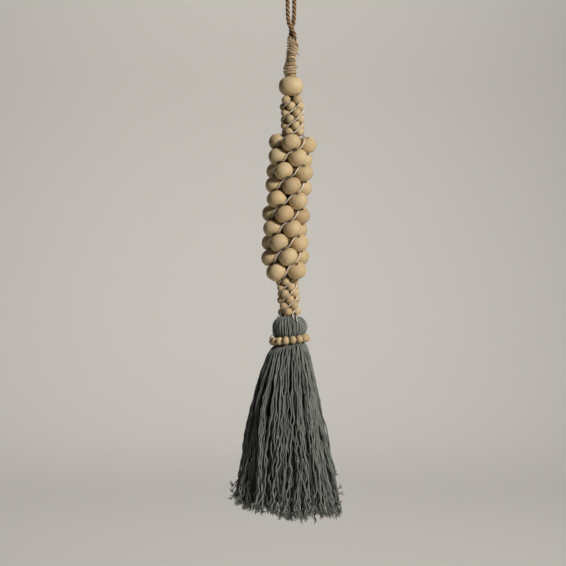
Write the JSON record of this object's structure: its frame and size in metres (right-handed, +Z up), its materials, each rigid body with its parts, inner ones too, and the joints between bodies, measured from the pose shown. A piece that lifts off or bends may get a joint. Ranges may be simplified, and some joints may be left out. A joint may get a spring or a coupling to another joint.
{
  "type": "beaded tassel",
  "caption": "Long hanging tassel: a twisted jute loop with a whipping, a round wooden bead, a braided tube of wooden beads, a ring of beads and a full skirt of grey-green cotton yarn",
  "frame": {"origin": "The underside of the loop's crown, where the loop bears on whatever holds it up.", "axes": "+Z up along the hanging tassel, -Y the front, +X to the viewer's right."},
  "size_m": [0.1107, 0.1106, 0.5716],
  "materials": {
    "wood": "raw, fine grain",
    "cotton_cord": "matt, twisted",
    "jute_cord": "matt, three-ply twist",
    "jute_twine": "matt, wound in turns",
    "cotton_yarn": "matt, loose plied strands"
  },
  "bodies": {
    "root": {"hanging_loop": "jute_cord", "whipping": "jute_twine", "top_bead": "wood", "bead_strand_1": "wood", "bead_strand_2": "wood", "bead_strand_3": "wood", "bead_strand_4": "wood", "large_bead_01_1": "wood", "large_bead_01_2": "wood", "large_bead_01_3": "wood", "large_bead_01_4": "wood", "large_bead_02_1": "wood", "large_bead_02_2": "wood", "large_bead_02_3": "wood", "large_bead_02_4": "wood", "large_bead_03_1": "wood", "large_bead_03_2": "wood", "large_bead_03_3": "wood", "large_bead_03_4": "wood", "large_bead_04_1": "wood", "large_bead_04_2": "wood", "large_bead_04_3": "wood", "large_bead_04_4": "wood", "large_bead_05_1": "wood", "large_bead_05_2": "wood", "large_bead_05_3": "wood", "large_bead_05_4": "wood", "large_bead_06_1": "wood", "large_bead_06_2": "wood", "large_bead_06_3": "wood", "large_bead_06_4": "wood", "large_bead_07_1": "wood", "large_bead_07_2": "wood", "large_bead_07_3": "wood", "large_bead_07_4": "wood", "large_bead_08_1": "wood", "large_bead_08_2": "wood", "large_bead_08_3": "wood", "large_bead_08_4": "wood", "large_bead_09_1": "wood", "large_bead_09_2": "wood", "large_bead_09_3": "wood", "large_bead_09_4": "wood", "large_bead_10_1": "wood", "large_bead_10_2": "wood", "large_bead_10_3": "wood", "large_bead_10_4": "wood", "crossing_cord_1": "cotton_cord", "crossing_cord_2": "cotton_cord", "crossing_cord_3": "cotton_cord", "crossing_cord_4": "cotton_cord", "bead_ring": "wood", "yarn_tassel": "cotton_yarn"}
  },
  "joints": []
}
